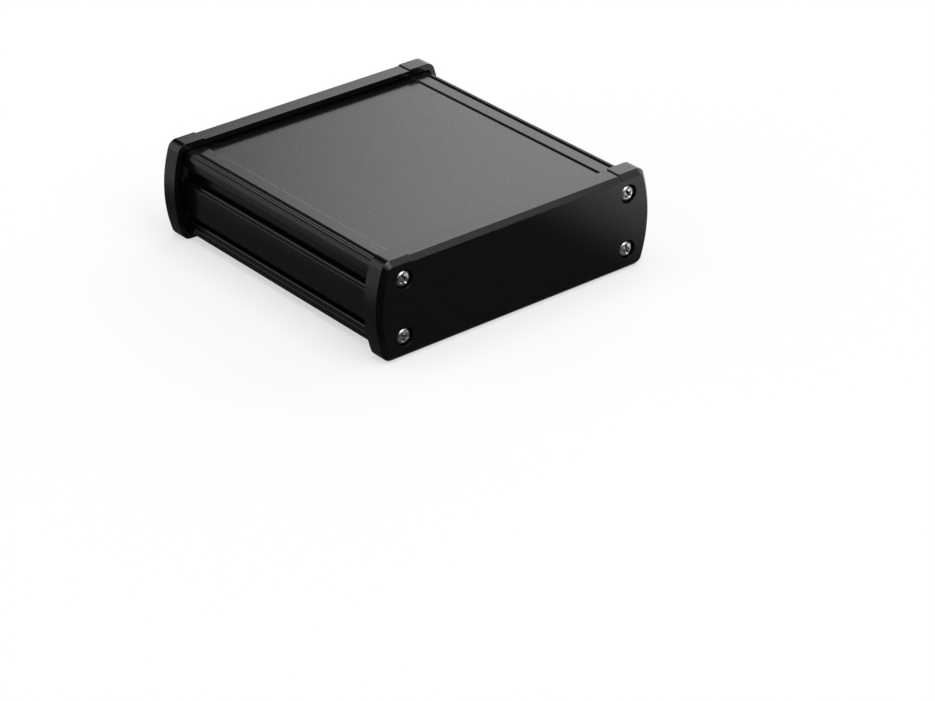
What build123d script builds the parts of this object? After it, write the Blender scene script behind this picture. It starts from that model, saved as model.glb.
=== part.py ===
"""Extruded aluminium enclosure with a cast cap, a gasket and four screws on each end.

Millimetres. X is the width, Y the length and Z is up; the front cap faces -Y.
The origin is the middle of the footprint, on the plane that the caps rest on.
"""
from build123d import *
import os

# Main sizes: the length over both ends, and the extrusion's section
overall_length = 116.0
body_width = 102.4
body_height = 29.0

# Cap: a casting with bowed sides that stands proud of the body all round
side_overhang = 4.8
top_overhang = 2.65
bottom_overhang = 2.95
bow_radius = 47.2
cap_corner = 3.5
cap_chamfer = 1.6
cap_wall = 1.9
plate_thickness = 4.2
body_seat = 2.5
top_recess = 0.45
lug_length = 13.0
pad_height = 5.4
pad_top_inset = 6.5
pad_setback = 0.8
pad_clearance = 0.15

# Gasket between the cap's plate and the body's end
gasket_thickness = 0.8
gasket_inset = 0.3
gasket_corner = 2.2
window_side_inset = 9.7
window_top_inset = 3.5
window_corner = 3.0

# Screws: M3 pan heads with a cross recess
screw_side_inset = 5.3
screw_top_inset = 4.5
screw_diameter = 3.0
screw_length = 12.0
head_diameter = 5.6
head_height = 1.9
head_round = 0.9
recess_span = 3.3
recess_width = 0.85
recess_depth = 1.1
recess_taper = 8.0
recess_turns = {"top_left": 27.0, "top_right": 34.0, "bottom_left": 52.0, "bottom_right": 15.0}
counterbore_diameter = 6.6
counterbore_depth = 2.0
hole_clearance = 0.2
port_clearance = 0.05

# Body section: the outside
field_side_inset = 8.8
field_depth = 0.5
corner_radius = 2.5
corner_inset = 0.4
groove_width = 0.3
groove_count = 3
groove_pitch = 30.0
channel_depth = 2.8
lip_inset = 0.8
lip_thickness = 0.8
edge_round = 0.25
bottom_round = 2.0

# Body section: the two channels of a side, placed from the section's top and bottom
upper_ceiling_drop = 6.2
upper_opening = 4.65
upper_lip_step = 0.75
upper_round = 1.3
lower_ceiling_rise = 6.65
lower_opening = 2.9
lower_lip_step = 1.35
lip_hook = 1.25

# Body section: the inside
wall = 2.0
channel_wall = 1.5
skin = 1.8
port_wall = 1.35
port_slit = 1.0
upper_slot_drop = 10.5
lower_slot_rise = 11.5
board_slot_width = 2.0
board_rib = 1.2
board_rib_reach = 2.5

# Places worked out from the sizes above
side = body_width / 2
top = body_height / 2
cap_width = body_width + 2 * side_overhang
cap_top = top + top_overhang
cap_bottom = top + bottom_overhang
screw_spacing_x = body_width - 2 * screw_side_inset
screw_spacing_z = body_height - 2 * screw_top_inset
window_width = body_width - 2 * window_side_inset
window_height = body_height - 2 * window_top_inset
pad_spacing = body_height - 2 * pad_top_inset
upper_ceiling = top - upper_ceiling_drop
lower_ceiling = lower_ceiling_rise - top
board_slots = (lower_slot_rise - top, top - upper_slot_drop)
end_stack = plate_thickness + gasket_thickness
cap_depth = end_stack + body_seat
body_length = overall_length - 2 * end_stack
bow_centre = cap_width / 2 - bow_radius
front_face = Plane(origin=(0, -overall_length / 2, cap_bottom), x_dir=(1, 0, 0), z_dir=(0, -1, 0))


def behind(depth):
    """Plane parallel to the front face, this far behind it."""
    return front_face.offset(-depth)


def screw_places():
    """The four screw axes on a plane parallel to the front face."""
    return GridLocations(screw_spacing_x, screw_spacing_z, 2, 2)


def cap_outline(rise, inset=0.0):
    """Bowed sides, a flat bottom and a flat top this far above the middle, drawn in by the inset."""
    with BuildSketch() as outline:
        with Locations((bow_centre, 0), (-bow_centre, 0)):
            Circle(bow_radius)
        with Locations((0, -cap_bottom)):
            Rectangle(
                cap_width, cap_bottom + rise, align=(Align.CENTER, Align.MIN), mode=Mode.INTERSECT
            )
        fillet(outline.vertices(), cap_corner)
        if inset:
            offset(amount=-inset, mode=Mode.REPLACE)
    return outline.sketch


def cap_block(rise):
    """The cap's outside as a solid, with a wide chamfer round its face."""
    with BuildPart() as block:
        with BuildSketch(front_face):
            add(cap_outline(rise))
        extrude(amount=-cap_depth)
        chamfer(block.faces().sort_by(Axis.Y)[0].edges(), cap_chamfer)
    return block.part


def make_cap():
    """Blank end plate with a rim round the body's end, corner lugs on top and counterbored holes."""
    pad_span = 2 * (side_overhang - pad_clearance)
    with BuildPart() as cap:
        add(cap_block(cap_top))
        with BuildSketch(front_face):
            with Locations((0, cap_top)):
                Rectangle(cap_width - 2 * lug_length, 2 * (top_recess + cap_chamfer))
        extrude(amount=-cap_depth, mode=Mode.SUBTRACT)
        add(cap_block(cap_top - top_recess))
        with BuildSketch(behind(plate_thickness)):
            add(cap_outline(cap_top - top_recess, cap_wall))
        extrude(amount=-(cap_depth - plate_thickness), mode=Mode.SUBTRACT)
        with BuildSketch(behind(plate_thickness)):
            add(cap_outline(cap_top - top_recess, cap_wall / 2))
            with GridLocations(cap_width, pad_spacing, 2, 2):
                Rectangle(pad_span, pad_height, mode=Mode.INTERSECT)
        extrude(amount=-(cap_depth - plate_thickness - pad_setback))
        with Locations(front_face):
            with screw_places():
                CounterBoreHole(
                    screw_diameter / 2 + hole_clearance,
                    counterbore_diameter / 2,
                    counterbore_depth,
                )
    return cap.part


def make_gasket():
    """Thin frame of the body's outline, squeezed between the cap's plate and the body's end."""
    with BuildPart() as gasket:
        with BuildSketch(behind(plate_thickness)):
            RectangleRounded(
                body_width - 2 * gasket_inset, body_height - 2 * gasket_inset, gasket_corner
            )
            RectangleRounded(window_width, window_height, window_corner, mode=Mode.SUBTRACT)
            with screw_places():
                Circle(screw_diameter / 2 + 2 * hole_clearance, mode=Mode.SUBTRACT)
        extrude(amount=-gasket_thickness)
    return gasket.part


def make_screw(x, z, turn):
    """Pan-head screw on the axis x, z of the front face, with its recess turned by an angle."""
    head_top = counterbore_depth - head_height
    with BuildPart() as screw:
        with BuildSketch(behind(head_top)):
            with Locations((x, z)):
                Circle(head_diameter / 2)
        extrude(amount=-head_height)
        fillet(screw.edges().sort_by(Axis.Y)[0], head_round)
        with BuildSketch(behind(head_top)):
            with Locations((x, z)):
                Rectangle(recess_span, recess_width, rotation=turn)
                Rectangle(recess_width, recess_span, rotation=turn)
        extrude(amount=-recess_depth, taper=recess_taper, mode=Mode.SUBTRACT)
        with BuildSketch(behind(counterbore_depth)):
            with Locations((x, z)):
                Circle(screw_diameter / 2)
        extrude(amount=-screw_length)
        chamfer(screw.edges().sort_by(Axis.Y)[-1], screw_diameter / 4)
    return screw.part


def cut_channel(ceiling, opening, lip_step):
    """Side channel of the half section: a mouth under a ceiling, a hooked lip and a step below it."""
    lip = ceiling - opening
    back = side - channel_depth
    hook_width = channel_depth - lip_inset - lip_thickness
    with Locations((side, ceiling)):
        Rectangle(channel_depth, opening, align=(Align.MAX, Align.MAX), mode=Mode.SUBTRACT)
    with Locations((back, lip)):
        Rectangle(hook_width, lip_hook, align=(Align.MIN, Align.MAX), mode=Mode.SUBTRACT)
    with Locations((side, lip)):
        Rectangle(lip_inset, lip_step, align=(Align.MAX, Align.MAX), mode=Mode.SUBTRACT)


def cut_top():
    """Shallow field of the half section's top, and its rounded corner with fine grooves."""
    with Locations((0, top)):
        Rectangle(
            side - field_side_inset, field_depth, align=(Align.MIN, Align.MAX), mode=Mode.SUBTRACT
        )
    with Locations((side, top)):
        Rectangle(
            corner_inset + corner_radius, corner_radius, align=(Align.MAX, Align.MAX), mode=Mode.SUBTRACT
        )
    with Locations((side - corner_inset - corner_radius, top - corner_radius)):
        Circle(corner_radius)
        sweep = groove_pitch * (groove_count - 1)
        with PolarLocations(corner_radius, groove_count, 90 - sweep, sweep, endpoint=True):
            Rectangle(groove_width, groove_width, rotation=45, mode=Mode.SUBTRACT)


def hollow():
    """Inside of the half section: board guides and screw ports on a thin wall."""
    inner_side = side - channel_depth - channel_wall
    inner_top = top - wall
    port_radius = screw_diameter / 2 + port_clearance
    pocket_top = upper_ceiling - upper_opening - lip_hook - channel_wall
    pocket_bottom = lower_ceiling + channel_wall
    Rectangle(inner_side, 2 * inner_top, align=(Align.MIN, Align.CENTER), mode=Mode.SUBTRACT)
    with Locations((0, pocket_bottom)):
        Rectangle(
            side - skin, pocket_top - pocket_bottom, align=(Align.MIN, Align.MIN), mode=Mode.SUBTRACT
        )
    for slot in board_slots:
        for edge in (-1, 1):
            with Locations((side - skin, slot + edge * (board_slot_width + board_rib) / 2)):
                Rectangle(
                    side - skin - inner_side + board_rib_reach,
                    board_rib,
                    align=(Align.MAX, Align.CENTER),
                )
    for edge in (-1, 1):
        with Locations((screw_spacing_x / 2, edge * screw_spacing_z / 2)):
            Circle(port_radius + port_wall)
            Circle(port_radius, mode=Mode.SUBTRACT)
            Rectangle(
                port_radius + 2 * port_wall, port_slit, align=(Align.MAX, Align.CENTER), mode=Mode.SUBTRACT
            )


def body_section():
    """Whole section of the extrusion: one half, rounded at its outer edges and mirrored."""
    with BuildSketch() as section:
        Rectangle(side, body_height, align=(Align.MIN, Align.CENTER))
        cut_top()
        hollow()
        cut_channel(upper_ceiling, upper_opening, upper_lip_step)
        cut_channel(lower_ceiling, lower_opening, lower_lip_step)
        outer = section.vertices().group_by(Axis.X)[-1]
        brow = outer.sort_by_distance((side, upper_ceiling))[0]
        foot = outer.sort_by_distance((side, -top))[0]
        fillet([vertex for vertex in outer if vertex not in (brow, foot)], edge_round)
        for height, radius in ((upper_ceiling, upper_round), (-top, bottom_round)):
            fillet(section.vertices().sort_by_distance((side, height))[0], radius)
        mirror(about=Plane.YZ)
    return section.sketch


def make_body():
    """One extruded length that ends against the gasket in each cap."""
    with BuildPart() as body:
        with BuildSketch(behind(end_stack)):
            add(body_section())
        extrude(amount=-body_length)
    return body.part


def save(name, solid):
    """Write one labelled sub-part."""
    solid.label = name
    export_step(solid, f"parts/{name}.step")


def both_ends(name, solid):
    """Write a front piece, and the same piece turned round on the rear end."""
    with BuildPart() as turned:
        add(solid, rotation=(0, 0, 180))
    save(f"front_{name}", solid)
    save(f"rear_{name}", turned.part)


os.makedirs("parts", exist_ok=True)
save("body", make_body())
both_ends("cap", make_cap())
both_ends("gasket", make_gasket())
for row, z in (("top", screw_spacing_z / 2), ("bottom", -screw_spacing_z / 2)):
    for column, x in (("left", -screw_spacing_x / 2), ("right", screw_spacing_x / 2)):
        place = f"{row}_{column}"
        both_ends(f"screw_{place}", make_screw(x, z, recess_turns[place]))
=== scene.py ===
# %% [markdown]
# # A black extruded enclosure, dressed for a studio picture
#
# The CAD model already holds the true shape of every piece: one extruded tube, two caps, two
# gaskets and eight screws. In this lesson we keep those shapes and give them what CAD leaves out:
# the satin of a black anodised extrusion, the fine skin of a coated casting, soft edges that
# catch the light, and screws with a domed head, a cross recess and a thread.
#
# We start by loading the model. Everything is in metres: X is the width, Y the length, Z is up.

# %% Load the model
import bmesh
import bpy
from math import cos, pi, radians, sin
from mathutils import Matrix, Vector


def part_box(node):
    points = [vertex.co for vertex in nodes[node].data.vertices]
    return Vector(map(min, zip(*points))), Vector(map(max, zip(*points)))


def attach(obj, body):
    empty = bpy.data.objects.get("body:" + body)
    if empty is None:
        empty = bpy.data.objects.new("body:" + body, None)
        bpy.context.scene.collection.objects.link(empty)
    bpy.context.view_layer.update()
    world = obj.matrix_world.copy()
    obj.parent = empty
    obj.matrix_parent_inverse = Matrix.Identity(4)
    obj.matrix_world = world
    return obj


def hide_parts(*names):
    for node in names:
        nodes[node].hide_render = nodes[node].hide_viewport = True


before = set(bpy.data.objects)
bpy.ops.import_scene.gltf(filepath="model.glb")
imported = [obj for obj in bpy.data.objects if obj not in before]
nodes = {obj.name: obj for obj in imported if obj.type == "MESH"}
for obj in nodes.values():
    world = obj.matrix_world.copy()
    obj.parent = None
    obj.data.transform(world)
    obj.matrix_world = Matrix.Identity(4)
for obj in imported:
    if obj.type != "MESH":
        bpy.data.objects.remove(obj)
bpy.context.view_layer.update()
MM = 0.001
print("pieces:", ", ".join(sorted(nodes)))

# %% [markdown]
# ## Writing shaders as formulas
#
# A finish is a small sum: a roughness plus a little grain, minus a little polish. Nodes can do
# that, but a long list of nodes and links is hard to read. So we wrap an output socket in a class
# that knows +, - and *. Each operator adds one Math node, and the shader then reads like the
# formula it is. Every other kind of node comes from one method, `node`.

# %% A wire that can be used in a formula
class Wire:
    """The output of a node, ready for sums."""

    def __init__(self, graph, socket):
        self.graph = graph
        self.socket = socket

    def maths(self, operation, first, second):
        return self.graph.node("ShaderNodeMath", {"operation": operation}, {0: first, 1: second})

    def __add__(self, other):
        return self.maths("ADD", self, other)

    def __sub__(self, other):
        return self.maths("SUBTRACT", self, other)

    def __rsub__(self, other):
        return self.maths("SUBTRACT", other, self)

    def __mul__(self, other):
        return self.maths("MULTIPLY", self, other)

    __radd__ = __add__
    __rmul__ = __mul__


print("a wire knows +, - and *")

# %% [markdown]
# ## A graph with a few words of its own
#
# A graph fills a tree of nodes. Its main method, `node`, takes the type of a node, then its
# settings, then the values or wires of its sockets. The settings come first, because some of them
# decide which sockets a node has. The other methods are short words for what our finishes need: a
# place on the piece in millimetres, noise, a soft step, a colour between two others, and a bump.
# A finish is a graph that belongs to a material and ends in one Principled shader.

# %% A graph of nodes with a method that adds one
class Graph:
    """A node tree that is filled one call at a time."""

    def __init__(self, owner):
        owner.use_nodes = True
        self.tree = owner.node_tree
        self.tree.nodes.clear()

    def node(self, kind, settings, values, output=0):
        """Add a node: its settings first, then the values or wires of its sockets."""
        made = self.tree.nodes.new(kind)
        for name, value in settings.items():
            setattr(made, name, value)
        for name, value in values.items():
            if isinstance(value, Wire):
                self.tree.links.new(value.socket, made.inputs[name])
            else:
                made.inputs[name].default_value = value
        return Wire(self, made.outputs[output]) if made.outputs else None

    def along(self, vector, direction):
        """How far a vector reaches along a direction."""
        settings = {"operation": "DOT_PRODUCT"}
        values = {0: vector, 1: direction}
        return self.node("ShaderNodeVectorMath", settings, values, output="Value")

    def place(self, per_mm):
        """Where we are on the piece, with so many units to the millimetre along X, Y and Z."""
        spot = self.node("ShaderNodeTexCoord", {}, {}, output="Object")
        factors = [number / MM for number in per_mm]
        return self.node("ShaderNodeVectorMath", {"operation": "MULTIPLY"}, {0: spot, 1: factors})

    def noise(self, per_mm, detail=2.0):
        """Cloudy noise around 0.5, with so many lumps to the millimetre along X, Y and Z."""
        values = {"Vector": self.place(per_mm), "Scale": 1.0, "Detail": detail}
        return self.node("ShaderNodeTexNoise", {}, values)

    def between(self, low, high, wire):
        """0 below low and 1 above high, with a soft change between them."""
        settings = {"interpolation_type": "SMOOTHSTEP"}
        values = {"Value": wire, "From Min": low, "From Max": high}
        return self.node("ShaderNodeMapRange", settings, values)

    def tint(self, dark, light, amount):
        """A colour between two others."""
        values = {0: amount, 6: (*dark, 1.0), 7: (*light, 1.0)}
        return self.node("ShaderNodeMix", {"data_type": "RGBA"}, values, output=2)

    def bump(self, height, depth):
        """A surface raised by the height, from 0 to 1, times a depth in millimetres."""
        values = {"Strength": 1.0, "Distance": depth * MM, "Height": height}
        return self.node("ShaderNodeBump", {}, values)


print("a graph knows:", ", ".join(name for name in vars(Graph) if not name.startswith("_")))

# %% A material made of a graph
class Finish(Graph):
    """A material made of a graph."""

    def __init__(self, name):
        self.material = bpy.data.materials.new(name)
        super().__init__(self.material)

    def shine(self, **sockets):
        """Join a Principled shader to the output. A socket's name has _ for each space."""
        values = {name.replace("_", " "): value for name, value in sockets.items()}
        surface = self.node("ShaderNodeBsdfPrincipled", {}, values)
        self.node("ShaderNodeOutputMaterial", {}, {"Surface": surface})
        return self.material


print("a finish adds: shine")

# %% [markdown]
# ## The extrusion: black anodised aluminium
#
# The tube was pushed through a die, brushed lightly, etched and dyed black. Up close it shows
# three things: hairline marks that run the whole length, a very fine grain from the etching, and
# broad, faint clouds where the etch took a little more or less. We could paint these marks as
# dark and light, but on a black coat the eye reads them from the gloss. So most of the change
# goes into roughness and a shallow bump, and only a trace into the colour.
#
# The top also looks speckled, because each grain of the etch mirrors its own bit of the room. A
# second, duller gloss shows this best: Coat Weight is high on some grains and nil between them.
# The grains are 0.6 mm wide, which is about two pixels here. Finer ones would average out.

# %% Extrusion finish
anodised = Finish("black_anodised")
die_marks = anodised.noise((5.0, 0.012, 5.0), detail=3.0)
etch_grain = anodised.noise((1.7, 1.7, 1.7))
clouds = anodised.noise((0.03, 0.018, 0.03))
anodised_skin = anodised.shine(
    Base_Color=anodised.tint((0.0015, 0.0015, 0.0016), (0.004, 0.004, 0.0042), etch_grain),
    Roughness=0.11 + 0.04 * die_marks + 0.04 * etch_grain + 0.04 * clouds,
    Normal=anodised.bump(0.35 * die_marks + 0.65 * etch_grain, 0.005),
    Coat_Weight=0.17 * anodised.between(0.3, 0.7, etch_grain),
    Coat_Roughness=0.25,
    IOR=1.47,
)
print("extrusion finish:", len(anodised.tree.nodes), "nodes")

# %% [markdown]
# ## The caps: cast metal under a black coat
#
# A cap is cast, so it has no direction: its coat follows the slightly pebbled skin of the mould.
# The pebbles are broader than the grain of the extrusion and even softer. They are only some
# thousandths of a millimetre high, so moving the mesh would be wasted work, and a bump in the
# shader does it. We use one noise for them and a second, finer one for the coat itself. As on the
# extrusion, a weak second gloss comes and goes, here with the pebbles.

# %% Cap finish
coated = Finish("black_coat")
pebbles = coated.noise((1.1, 1.1, 1.1))
coat_grain = coated.noise((4.0, 4.0, 4.0), detail=1.0)
coat_clouds = coated.noise((0.04, 0.04, 0.04))
coated_skin = coated.shine(
    Base_Color=coated.tint((0.0015, 0.0015, 0.0016), (0.0035, 0.0035, 0.0036), coat_grain),
    Roughness=0.1 + 0.03 * pebbles + 0.04 * coat_grain + 0.05 * coat_clouds,
    Normal=coated.bump(0.7 * pebbles + 0.3 * coat_grain, 0.004),
    Coat_Weight=0.12 * coated.between(0.3, 0.7, pebbles),
    Coat_Roughness=0.22,
    IOR=1.46,
)
print("cap finish:", len(coated.tree.nodes), "nodes")

# %% [markdown]
# ## The gaskets: plain rubber
#
# A gasket is squeezed between cap and tube, and shows only as a thin line when a cap is off.
# Rubber is dull: it gets a high roughness and a coarse, weak grain.

# %% Gasket finish
rubber = Finish("gasket_rubber")
rubber_grain = rubber.noise((2.0, 2.0, 2.0), detail=3.0)
rubber_skin = rubber.shine(
    Base_Color=rubber.tint((0.018, 0.018, 0.018), (0.035, 0.034, 0.033), rubber_grain),
    Roughness=0.62 + 0.2 * rubber_grain,
    Normal=rubber.bump(rubber_grain, 0.02),
    IOR=1.52,
)
print("gasket finish:", len(rubber.tree.nodes), "nodes")

# %% [markdown]
# ## The screws: plated steel
#
# A bright plating hides nothing. It shows the fine rings that the tool left on the head, and the
# small dull patches where plating and fingers changed it. The rings are a wave that depends
# only on the distance from the screw's axis, so we measure that distance in the piece's own
# frame, where the axis is Z and the seat of the head is at zero.
#
# The cross recess is darker in the colour. This is painted shade for the little light that gets out
# of it, with a little oil and dust as well. We find it by its height over the seat and its distance
# from the axis, and there the metal's colour goes towards grey.

# %% Screw finish
RING_WAVE = 42.0
FLOOR_OF_SHADE_AND_GRIME, TOP_OF_SHADE_AND_GRIME = 1.0, 1.65
RIM_OF_SHADE_AND_GRIME, END_OF_SHADE_AND_GRIME = 1.9, 2.1

plated = Finish("bright_plating")
across = plated.place((1.0, 1.0, 0.0))
from_axis = plated.node("ShaderNodeVectorMath", {"operation": "LENGTH"}, {0: across}, output="Value")
rings = 0.5 + 0.5 * plated.node("ShaderNodeMath", {"operation": "SINE"}, {0: from_axis * RING_WAVE})
patches = plated.noise((0.9, 0.9, 0.9), detail=3.0)
height = plated.along(plated.place((1.0, 1.0, 1.0)), (0.0, 0.0, 1.0))
# Painted shade, with a little oil and dust: deep in the cross recess the metal's colour goes towards
# grey.
deep = 1.0 - plated.between(FLOOR_OF_SHADE_AND_GRIME, TOP_OF_SHADE_AND_GRIME, height)
recess_shade_and_grime = deep * (1.0 - plated.between(RIM_OF_SHADE_AND_GRIME, END_OF_SHADE_AND_GRIME, from_axis))
plated_skin = plated.shine(
    Base_Color=plated.tint((0.1, 0.1, 0.1), (0.97, 0.97, 0.96), 0.8 + 0.2 * patches - 0.85 * recess_shade_and_grime),
    Metallic=1.0,
    Roughness=0.17 + 0.16 * patches + 0.03 * rings,
    Normal=plated.bump(0.5 * rings + 0.5 * patches, 0.006),
)
finishes = {"body": anodised_skin, "cap": coated_skin, "gasket": rubber_skin, "screw": plated_skin}
print("screw finish:", len(plated.tree.nodes), "nodes")

# %% [markdown]
# ## Joined meshes and soft edges
#
# The CAD model arrives as triangles that share no points across an edge, with a shading of its
# own. For close work we want a joined mesh: points that coincide are merged, and flat regions
# become single faces. A bevel modifier can then round each real edge by about a tenth of a
# millimetre, as the coat does, and that thin round draws the fine bright line along a rim. After
# the bevel, weighted normals keep the large faces looking flat.

# %% Helpers that dress and join
def dress(piece, skin):
    """Put one material on the whole piece."""
    piece.data.materials.clear()
    piece.data.materials.append(skin)


def joined(node):
    """A copy of a node's mesh with its points merged, its flats whole and its shading plain."""
    shape = bmesh.new()
    shape.from_mesh(nodes[node].data)
    bmesh.ops.remove_doubles(shape, verts=shape.verts, dist=0.001 * MM)
    bmesh.ops.dissolve_limit(shape, angle_limit=radians(0.5), verts=shape.verts, edges=shape.edges)
    for face in shape.faces:
        face.smooth = True
    for edge in shape.edges:
        edge.smooth = True
    mesh = bpy.data.meshes.new(f"{node}_joined")
    shape.to_mesh(mesh)
    shape.free()
    if "custom_normal" in mesh.attributes:
        mesh.attributes.remove(mesh.attributes["custom_normal"])
    return mesh


def stand_in(node, mesh, skin):
    """A piece that takes a CAD node's place in the picture and rides on the same body."""
    piece = bpy.data.objects.new(f"{node}_detail", mesh)
    bpy.context.scene.collection.objects.link(piece)
    dress(piece, skin)
    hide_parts(node)
    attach(piece, "root")
    return piece


def soften(piece, width, turn):
    """Round the edges that turn by more than an angle in degrees, and keep the flats flat."""
    bevel = piece.modifiers.new("soft_edges", "BEVEL")
    bevel.limit_method = "ANGLE"
    bevel.angle_limit = radians(turn)
    bevel.width = width * MM
    bevel.segments = 2
    bevel.use_clamp_overlap = False
    piece.modifiers.new("even_shading", "WEIGHTED_NORMAL")


print("helpers ready: dress, joined, stand_in, soften")

# %% A finish for every piece, and soft edges for the caps
for name, piece in nodes.items():
    skin = next(skin for word, skin in finishes.items() if word in name.split("_"))
    dress(piece, skin)
for end in ("front", "rear"):
    cap = stand_in(f"{end}_cap", joined(f"{end}_cap"), coated_skin)
    soften(cap, 0.1, 25)
    print(cap.name, len(cap.data.polygons), "faces")

# %% [markdown]
# ## The fine lines of the extrusion
#
# A die can draw lines much finer than a CAD section usually holds. The real tube has a serrated
# corner with three deeper grooves, a sloped edge on the shallow field of its top, and lips
# whose edges are broken. We could draw the whole section anew, but the inside of the tube is
# right as it is. So we work on a copy, as a toolmaker would: bars of metal are joined to the
# corners, and other bars are cut away. A bar is a short outline in the section, drawn out over
# the length of the tube, once on each side.

# %% Bars drawn out along the tube
body_low, body_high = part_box("body")
MIDDLE = (body_low[2] + body_high[2]) / 2 / MM
SIDE = (body_high[0] - body_low[0]) / 2 / MM
TOP = (body_high[2] - body_low[2]) / 2 / MM


def bars(outlines):
    """Object with a bar, and its mirror image, for each outline of (x, z) points in the section."""
    shape = bmesh.new()
    for outline in outlines:
        for mirror in (1, -1):
            ends = []
            for y in (body_low[1], body_high[1]):
                spots = [(mirror * x * MM, y, (z + MIDDLE) * MM) for x, z in outline]
                ends.append([shape.verts.new(spot) for spot in spots])
            near, far = ends
            for here, there in zip(range(len(near)), [*range(1, len(near)), 0]):
                shape.faces.new((near[here], near[there], far[there], far[here]))
            shape.faces.new(near)
            shape.faces.new(far)
    bmesh.ops.recalc_face_normals(shape, faces=shape.faces)
    mesh = bpy.data.meshes.new("bars")
    shape.to_mesh(mesh)
    shape.free()
    return bpy.data.objects.new("bars", mesh)


print("half section in mm:", round(SIDE, 2), "wide and", round(TOP, 2), "high each way")

# %% [markdown]
# ## The serrated corner
#
# We walk along the corner in steps of 0.2 mm: over a flat stretch of the top, round the arc and
# down the side. A tooth stands at every second step, and three grooves are deeper, each between
# two full teeth. Points typed in by hand would be hard to change, so a rule makes them. One
# function says how deep the skin lies at a step, and the other turns a distance along the corner
# and a depth into a point. The outline then closes through the wall.

# %% The serrated corner
CORNER_RADIUS = 1.5
STEP = 0.2
STEPS = 26
GROOVES = (10, 16, 25)
GROOVE_DEPTH = 0.25
TOOTH_DEPTH = 0.1
FLAT = STEP * GROOVES[0]
ARC = CORNER_RADIUS * pi / 2


def on_corner(distance, depth):
    """Point this far along the corner, from the flat of the top over the arc, sunk by a depth."""
    centre = (SIDE - CORNER_RADIUS, TOP - CORNER_RADIUS)
    if distance < FLAT:
        return centre[0] - FLAT + distance, TOP - depth
    if distance < FLAT + ARC:
        angle = pi / 2 - (distance - FLAT) / CORNER_RADIUS
        reach = CORNER_RADIUS - depth
        return centre[0] + reach * cos(angle), centre[1] + reach * sin(angle)
    return SIDE - depth, centre[1] - (distance - FLAT - ARC)


def depth_at(step):
    """Fine teeth, with a deeper groove here and there."""
    if step in GROOVES:
        return GROOVE_DEPTH
    if step + 1 in GROOVES or step - 1 in GROOVES:
        return 0.0
    return TOOTH_DEPTH * (step % 2)


corner = [on_corner(step * STEP, depth_at(step)) for step in range(STEPS + 1)]
corner += [(SIDE, TOP - 2.8), (SIDE - 1.0, TOP - 3.1), (corner[0][0], TOP - 1.5)]
print("corner:", len(corner), "points")

# %% [markdown]
# ## The foot, the field and the lips
#
# The foot is a second bar of metal. It fills the wide round at the bottom corner, so that only a
# small break is left. The other bars cut: one clears the skin where the serrated corner comes,
# one gives the field of the top its slope, and two wedges break the edges of the lips. A bar
# that cuts reaches a little past the metal, so that no thin skin stays behind.

# %% The outlines of the other bars
FOOT_INSIDE, FOOT_TOP, FOOT_BREAK = 49.1, -12.7, 0.4
foot = [
    (FOOT_INSIDE, FOOT_TOP),
    (FOOT_INSIDE, -TOP),
    (SIDE - FOOT_BREAK, -TOP),
    (SIDE - FOOT_BREAK / 4, FOOT_BREAK / 4 - TOP),
    (SIDE, FOOT_BREAK - TOP),
    (SIDE, FOOT_TOP),
]
SKIN_START, SKIN_END, SKIN_LOW, SKIN_HIGH = 47.72, SIDE + 0.1, 14.3, 14.7
skin_clearance = [
    (SKIN_START, SKIN_LOW),
    (SKIN_END, SKIN_LOW),
    (SKIN_END, SKIN_HIGH),
    (SKIN_START, SKIN_HIGH),
]
FIELD_INSIDE, SLOPE_START, SLOPE_RUN = 42.2, 42.6, 1.6
FIELD_FLOOR, FIELD_RIM, FIELD_PAST = 14.0, 14.5, 14.6
field_slope = [
    (SLOPE_START + SLOPE_RUN * (z - FIELD_FLOOR), z) for z in (FIELD_FLOOR, FIELD_RIM, FIELD_PAST)
]
field_edge = [(FIELD_INSIDE, FIELD_FLOOR), *field_slope, (FIELD_INSIDE, FIELD_PAST)]
LIP_FACE, LIP_BREAK, PAST_LIP = 50.4, 0.3, 0.05
LIP_TOPS = (3.65, -10.75)
lip_edges = [
    [
        (LIP_FACE - LIP_BREAK, z + PAST_LIP),
        (LIP_FACE + PAST_LIP, z + PAST_LIP),
        (LIP_FACE + PAST_LIP, z - LIP_BREAK),
    ]
    for z in LIP_TOPS
]
print("bars to join: 2, bars to cut:", 2 + len(lip_edges))

# %% [markdown]
# ## Joining and cutting
#
# Boolean modifiers do the work, one for each set of bars. The cuts come first, and the new corner
# is joined afterwards, so that the cut doesn't touch its teeth. We apply the modifiers by taking
# the evaluated mesh, and throw the bars away. Edges that turn by more than 22 degrees stay sharp:
# the teeth do, while the round brow over the channel shades smoothly.

# %% Join and cut the bars
def worked(mesh, steps, soft_edge=None):
    """A mesh after booleans with (object, operation) steps, and then perhaps a soft edge."""
    blank = bpy.data.objects.new("blank", mesh)
    tools = [tool for tool, _ in steps]
    for item in (blank, *tools):
        bpy.context.scene.collection.objects.link(item)
    for tool, operation in steps:
        boolean = blank.modifiers.new(operation.lower(), "BOOLEAN")
        boolean.operation = operation
        boolean.solver = "EXACT"
        boolean.object = tool
    if soft_edge:
        soften(blank, *soft_edge)
    bpy.context.view_layer.update()
    graph = bpy.context.evaluated_depsgraph_get()
    result = bpy.data.meshes.new_from_object(blank.evaluated_get(graph))
    for item in (blank, *tools):
        bpy.data.objects.remove(item)
    return result


tube_steps = [
    (bars([skin_clearance, field_edge, *lip_edges]), "DIFFERENCE"),
    (bars([corner, foot]), "UNION"),
]
tube = stand_in("body", worked(joined("body"), tube_steps), anodised_skin)
tube.data.set_sharp_from_angle(angle=radians(22))
print("tube:", len(tube.data.polygons), "faces, from", len(nodes["body"].data.polygons))

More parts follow.
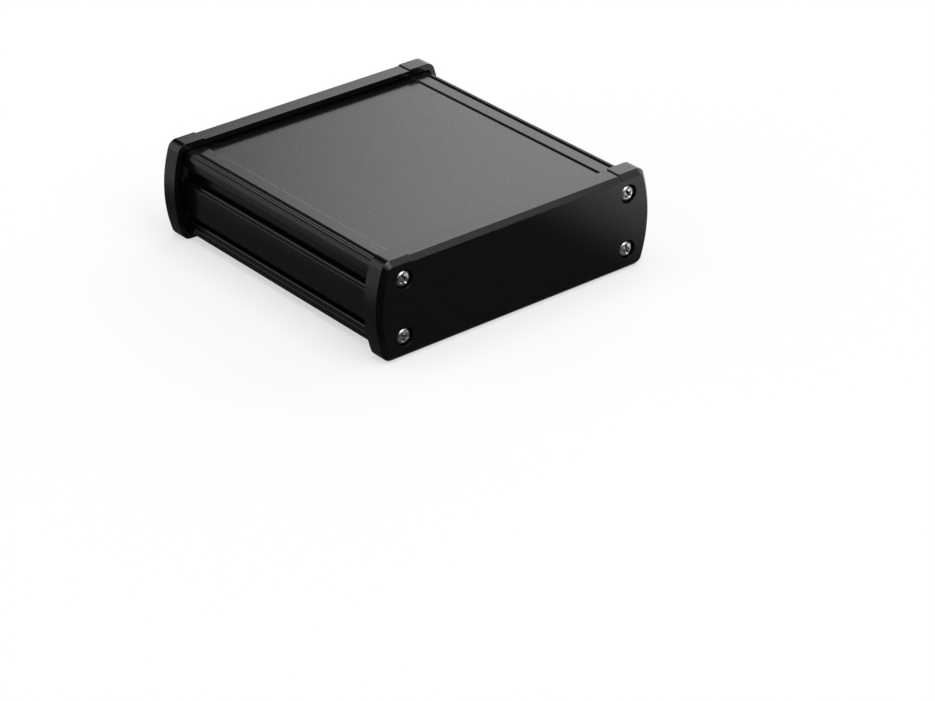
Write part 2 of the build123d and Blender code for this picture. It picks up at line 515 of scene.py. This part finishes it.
# %% [markdown]
# ## The screws, properly made
#
# Each screw is an M3 pan head. The CAD model keeps it plain, so we make a fuller one: a head
# with the rounded shoulder of a real pan head, a cross recess whose four wings taper towards the
# bottom, and a thread on the shank. The side of a pan head rises almost straight and then rolls
# over into a shallow dome. A superellipse does that, and its power says how square the shoulder
# is: 2 is an ellipse, and a little more gives the fuller shoulder of a pan head.

# %% Sizes of the screw, in millimetres
HEAD_RADIUS = 2.8
HEAD_HEIGHT = 2.0
HEAD_ABOVE_CAD = 0.1
HEAD_EDGE = 0.35
SEAT_BREAK = 0.08
DOME_POWER = 2.2
DOME_STEPS = 14
SHANK_RADIUS = 1.5
SHANK_LENGTH = 12.0
THREAD_PITCH = 0.5
THREAD_DEPTH = 0.3
RECESS_REACH = 1.95
RECESS_HALF_WIDTH = 0.42
RECESS_DEPTH = 1.6
print("screw:", HEAD_HEIGHT + SHANK_LENGTH, "mm long over all")


# %% The profile of the head
def head_profile():
    """Points (radius, height) from the middle of the dome down to the seat of the head."""
    rise = HEAD_HEIGHT - HEAD_EDGE
    points = [(0.0, HEAD_HEIGHT)]
    for step in range(1, DOME_STEPS + 1):
        angle = step / DOME_STEPS * pi / 2
        out = HEAD_RADIUS * sin(angle) ** (2 / DOME_POWER)
        up = HEAD_EDGE + rise * max(cos(angle), 0.0) ** (2 / DOME_POWER)
        points.append((out, up))
    return points + [(HEAD_RADIUS - SEAT_BREAK, 0.0), (0.0, 0.0)]


print("profile points of the head:", len(head_profile()))

# %% [markdown]
# ## Turning the head
#
# A head is round, so we spin its profile round the axis, as a lathe does. Blender's Screw modifier
# can do that too, but a loop of our own keeps the middle clean: where the profile meets the axis,
# all the corners of a ring are one point, and the faces round it are triangles.

# %% A lathe that spins a profile round Z
ROUND_STEPS = 72


def lathe(name, profile):
    """Mesh made by spinning (radius, height) points, in millimetres, round the Z axis."""
    shape = bmesh.new()
    rows = []
    for radius, height in profile:
        if radius == 0.0:
            rows.append([shape.verts.new((0.0, 0.0, height * MM))] * ROUND_STEPS)
            continue
        row = []
        for step in range(ROUND_STEPS):
            turn = step / ROUND_STEPS * 2 * pi
            spot = (radius * cos(turn) * MM, radius * sin(turn) * MM, height * MM)
            row.append(shape.verts.new(spot))
        rows.append(row)
    for upper, lower in zip(rows, rows[1:]):
        for step in range(ROUND_STEPS):
            after = (step + 1) % ROUND_STEPS
            corners = [upper[step], lower[step], lower[after], upper[after]]
            shape.faces.new(list(dict.fromkeys(corners)))
    mesh = bpy.data.meshes.new(name)
    shape.to_mesh(mesh)
    shape.free()
    return mesh


head_mesh = lathe("pan_head", head_profile())
print("head:", len(head_mesh.polygons), "faces")

# %% [markdown]
# ## Punching the recess
#
# The recess is pressed into a screw by a hard punch, so we build that punch and cut it out of the
# head with a boolean. It is a stack of four crosses, one above the other, that get shorter and
# thinner towards a blunt tip. A small bevel after the cut rounds the rim, and that rim is what
# sparkles on a real screw.

# %% The punch that makes the cross recess
CROSS_CORNERS = 16
INNER_CORNER = 1.5


def cross(reach, half_width, height):
    """Corners of a cross with cut inner corners, at a height."""
    inner = half_width * INNER_CORNER
    arm = [(reach, -half_width), (reach, half_width), (inner, half_width), (half_width, inner)]
    corners = []
    for quarter in range(4):
        turn = Matrix.Rotation(quarter * pi / 2, 2)
        for spot in arm:
            flat = turn @ Vector(spot)
            corners.append(Vector((flat.x, flat.y, height)) * MM)
    return corners


def punch():
    """Object shaped as a cross that narrows downwards and ends in a blunt tip."""
    shape = bmesh.new()
    floor = HEAD_HEIGHT - RECESS_DEPTH
    levels = [
        cross(RECESS_REACH * 1.12, RECESS_HALF_WIDTH * 1.15, HEAD_HEIGHT + 0.3),
        cross(RECESS_REACH, RECESS_HALF_WIDTH, HEAD_HEIGHT - 0.05),
        cross(RECESS_REACH * 0.5, RECESS_HALF_WIDTH * 0.7, floor + 0.2),
        cross(RECESS_REACH * 0.2, RECESS_HALF_WIDTH * 0.4, floor),
    ]
    rows = [[shape.verts.new(spot) for spot in level] for level in levels]
    for upper, lower in zip(rows, rows[1:]):
        for here, there in zip(range(CROSS_CORNERS), [*range(1, CROSS_CORNERS), 0]):
            shape.faces.new((upper[here], lower[here], lower[there], upper[there]))
    shape.faces.new(rows[0])
    shape.faces.new(reversed(rows[-1]))
    bmesh.ops.recalc_face_normals(shape, faces=shape.faces)
    mesh = bpy.data.meshes.new("recess_punch")
    shape.to_mesh(mesh)
    shape.free()
    return bpy.data.objects.new("punch", mesh)


head_mesh = worked(head_mesh, [(punch(), "DIFFERENCE")], soft_edge=(0.07, 28))
print("punched head:", len(head_mesh.polygons), "faces")

# %% [markdown]
# ## Rolling the thread
#
# A thread is a wave in the radius that is shifted a little as we go round, so that its crests
# join into a helix. The Screw modifier could wind such a profile, but it leaves the ends open. So
# we build the shank row by row, six rows to a pitch, close both ends, and let the last 0.7 mm
# narrow to the blunt point of a machine screw. The head is then added to the same mesh. Edges of
# more than 40 degrees stay sharp, and the rest of the head shades smoothly.

# %% The thread on the shank
AROUND = 32
ROWS_PER_PITCH = 6
POINT_LENGTH = 0.7
POINT_WIDTH = 0.55


def threaded_shank():
    """A helical thread: the radius rises and falls once in each pitch, shifted as we go round."""
    steps_down = int(SHANK_LENGTH / THREAD_PITCH * ROWS_PER_PITCH)
    shape = bmesh.new()
    rows = []
    for step_down in range(steps_down + 1):
        drop = step_down / steps_down * SHANK_LENGTH
        point = min(1.0, (SHANK_LENGTH - drop) / POINT_LENGTH + POINT_WIDTH)
        row = []
        for step in range(AROUND):
            turn = step / AROUND
            wave = abs(((drop / THREAD_PITCH + turn) % 1.0) * 2 - 1)
            radius = (SHANK_RADIUS - THREAD_DEPTH * wave) * point
            spot = (radius * cos(2 * pi * turn), radius * sin(2 * pi * turn), -drop)
            row.append(shape.verts.new(Vector(spot) * MM))
        rows.append(row)
    for upper, lower in zip(rows, rows[1:]):
        for step in range(AROUND):
            after = (step + 1) % AROUND
            shape.faces.new((upper[step], lower[step], lower[after], upper[after]))
    shape.faces.new(rows[0])
    shape.faces.new(reversed(rows[-1]))
    return shape


screw_shape = threaded_shank()
print("shank:", len(screw_shape.faces), "faces")

# %% Head and shank in one mesh
screw_shape.from_mesh(head_mesh)
screw_mesh = bpy.data.meshes.new("pan_head_screw")
screw_shape.to_mesh(screw_mesh)
screw_shape.free()
for face in screw_mesh.polygons:
    face.use_smooth = True
screw_mesh.set_sharp_from_angle(angle=radians(40))
print("screw:", len(screw_mesh.polygons), "faces")

# %% [markdown]
# ## Setting the screws in place
#
# Nobody lines screws up, so each cross stands at its own angle, as the picture shows. A screw's
# axis comes from the box of the CAD screw that it stands for, and so does the top of its head,
# which is a tenth of a millimetre higher. On the front the head looks towards -Y, and on the
# rear towards +Y.

# %% Place one screw for each CAD screw
TURNS = {"top_left": 27.0, "top_right": 34.0, "bottom_left": 52.0, "bottom_right": 15.0}


def place_screw(end, corner, facing):
    """Stand a copy of the screw in for a CAD screw, with its head facing along Y."""
    node = f"{end}_screw_{corner}"
    low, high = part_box(node)
    head_top = (low[1] if facing < 0 else high[1]) + facing * HEAD_ABOVE_CAD * MM
    seat_y = head_top - facing * HEAD_HEIGHT * MM
    seat = Vector(((low[0] + high[0]) / 2, seat_y, (low[2] + high[2]) / 2))
    piece = stand_in(node, screw_mesh, plated_skin)
    upright = Matrix.Rotation(-facing * pi / 2, 4, "X")
    spin = Matrix.Rotation(radians(TURNS[corner]), 4, "Z")
    piece.matrix_world = Matrix.Translation(seat) @ upright @ spin
    return seat


for end, facing in (("front", -1), ("rear", 1)):
    for corner in TURNS:
        seat = place_screw(end, corner, facing)
        print(end, corner, [round(number / MM, 2) for number in seat])

# %% [markdown]
# ## The studio floor
#
# Gloss shows its surroundings, so we build the surroundings first. To the eye the floor is
# nearly white, but the low faces of the object, which mirror it, are nearly black. One floor
# can't be both, unless it knows which kind of ray has found it, and the Light Path node tells it.
# Rays from the camera find a glow close to white, mixed with a matt white that takes the soft shadow.
# Glossy rays find a floor of painted shade and light. It is a glow that is dark near the object, as a
# painted shadow, and brighter further off to the right and behind to the left, as the mirror images
# in the channels and on the caps show.

# %% A pale floor that keeps the shadow
LEFT, RIGHT = (-1.0, 0.0, 0.0), (1.0, 0.0, 0.0)
FORWARD, BACKWARD = (0.0, -1.0, 0.0), (0.0, 1.0, 0.0)
GLOW_SHARE = 0.6

floor_paint = Finish("pale_floor")
here = floor_paint.place((1.0, 1.0, 1.0))


def beyond(direction, start, end):
    """0 up to a distance in millimetres along a direction, and 1 from another one on."""
    return floor_paint.between(start, end, floor_paint.along(here, direction))


left_and_back = beyond(LEFT, 66.0, 110.0) * beyond(BACKWARD, -60.0, 60.0)
left_and_front = beyond(LEFT, 56.0, 66.0) * beyond(FORWARD, 45.0, 65.0)
to_the_right = beyond(RIGHT, 42.0, 100.0)
# Painted shadow and painted light for glossy rays: the floor's glow is dark near the object and
# brighter further off.
painted_gloss_floor = 0.07 - 0.06 * left_and_front + 0.43 * left_and_back + 0.95 * to_the_right
print("floor as the gloss sees it:", len(floor_paint.tree.nodes), "nodes")

# %% The kinds of ray
by_eye = floor_paint.node("ShaderNodeLightPath", {}, {}, output="Is Camera Ray")
by_gloss = floor_paint.node("ShaderNodeLightPath", {}, {}, output="Is Glossy Ray")
WHITE = (1.0, 1.0, 1.0, 1.0)
dark = floor_paint.node("ShaderNodeEmission", {}, {"Strength": 0.0})
bright = floor_paint.node("ShaderNodeEmission", {}, {"Color": WHITE, "Strength": 1.0})
dull = floor_paint.node("ShaderNodeMixShader", {}, {0: painted_gloss_floor, 1: dark, 2: bright})
matt = floor_paint.node("ShaderNodeBsdfDiffuse", {}, {"Color": (0.8, 0.8, 0.8, 1.0)})
ground = floor_paint.node("ShaderNodeMixShader", {}, {0: by_gloss, 1: matt, 2: dull})
glow = floor_paint.node("ShaderNodeEmission", {}, {"Color": WHITE, "Strength": 0.97})
floor_look = floor_paint.node("ShaderNodeMixShader", {}, {0: GLOW_SHARE * by_eye, 1: ground, 2: glow})
floor_paint.node("ShaderNodeOutputMaterial", {}, {"Surface": floor_look})
bpy.ops.mesh.primitive_plane_add(size=12.0, location=(0.0, 0.0, 0.0))
floor = bpy.context.object
floor.name = "floor"
dress(floor, floor_paint.material)
print("floor laid at z = 0")

# %% [markdown]
# ## Soft panels in a dark room
#
# The black caps work like curved mirrors, and we can read the room in them. It is dark, with
# large soft panels: one behind the object to the right, which fills the flat top and fades
# towards its left end; one behind to the left, which the rounded corners show; one in front,
# which lights the chamfer over the front; a brighter one within it, for the heads of the screws;
# and one overhead, which gives the soft shadow.
#
# Area lamps could stand for the panels. But what we read in a mirror image is a direction, not a
# distance, so we write the panels into the world, where they are endlessly far away. A panel is a
# formula of the direction in which a ray leaves. A dot product tells how far that direction
# swings to the side of the panel's middle, or above it, and a soft step cuts the panel out. The
# far side of the room would pass both tests too, so one more step keeps what lies ahead.

# %% Panels of light, written in the world
world = bpy.data.worlds.new("studio")
bpy.context.scene.world = world
room = Graph(world)
ray = room.node("ShaderNodeTexCoord", {}, {}, output="Generated")


def panel(azimuth, elevation, width, height, level, edge):
    """Light from a soft-edged rectangle of directions. Its place and size are in degrees."""
    turn, tilt = radians(azimuth), radians(elevation)
    ahead = Vector((sin(turn) * cos(tilt), cos(turn) * cos(tilt), sin(tilt)))
    aside = Vector((cos(turn), -sin(turn), 0.0))
    upward = aside.cross(ahead)
    light = level * room.between(0.0, 0.2, room.along(ray, ahead))
    for axis, size in ((aside, width), (upward, height)):
        swing = room.along(ray, axis)
        off_centre = room.node("ShaderNodeMath", {"operation": "ABSOLUTE"}, {0: swing})
        reach, blur = sin(radians(size / 2)), sin(radians(edge / 2))
        light = light * (1.0 - room.between(reach - blur, reach + blur, off_centre))
    return light


# Azimuth, elevation, width, height, level, soft edge
PANELS = {
    "behind, right": (72.5, 22.0, 67.0, 35.0, 1.83, 9.0),
    "behind, left": (-62.0, 20.0, 85.0, 52.0, 0.95, 14.0),
    "in front": (162.0, 50.0, 92.0, 42.0, 0.8, 14.0),
    "in front, for the screws": (172.0, 46.0, 32.0, 40.0, 2.0, 8.0),
    "overhead": (0.0, 90.0, 56.0, 56.0, 2.4, 10.0),
}
lights = sum(panel(*numbers) for numbers in PANELS.values())
sky = room.node("ShaderNodeBackground", {}, {"Color": WHITE, "Strength": lights})
room.node("ShaderNodeOutputWorld", {}, {"Surface": sky})
print("panels:", "; ".join(PANELS))

# %% [markdown]
# ## The camera
#
# The camera was found from the straight edges and the screws of the picture. It stands about a
# metre away, looks down at 29 degrees, and uses a long lens, so that parallel edges stay nearly
# parallel.

# %% Camera
CAMERA_PLACE = (-0.551703, -0.700137, 0.459786)
LOOK_DOWN = 29.219
HEADING = 39.566

lens = bpy.data.cameras.new("camera")
lens.sensor_width = 36.0
lens.lens = 117.16
camera = bpy.data.objects.new("camera", lens)
camera.location = CAMERA_PLACE
camera.rotation_euler = (radians(90.0 - LOOK_DOWN), 0.0, radians(-HEADING))
bpy.context.scene.collection.objects.link(camera)
bpy.context.scene.camera = camera
bpy.context.scene.view_settings.view_transform = "Standard"
print("camera at", [round(number, 3) for number in camera.location])

# %% [markdown]
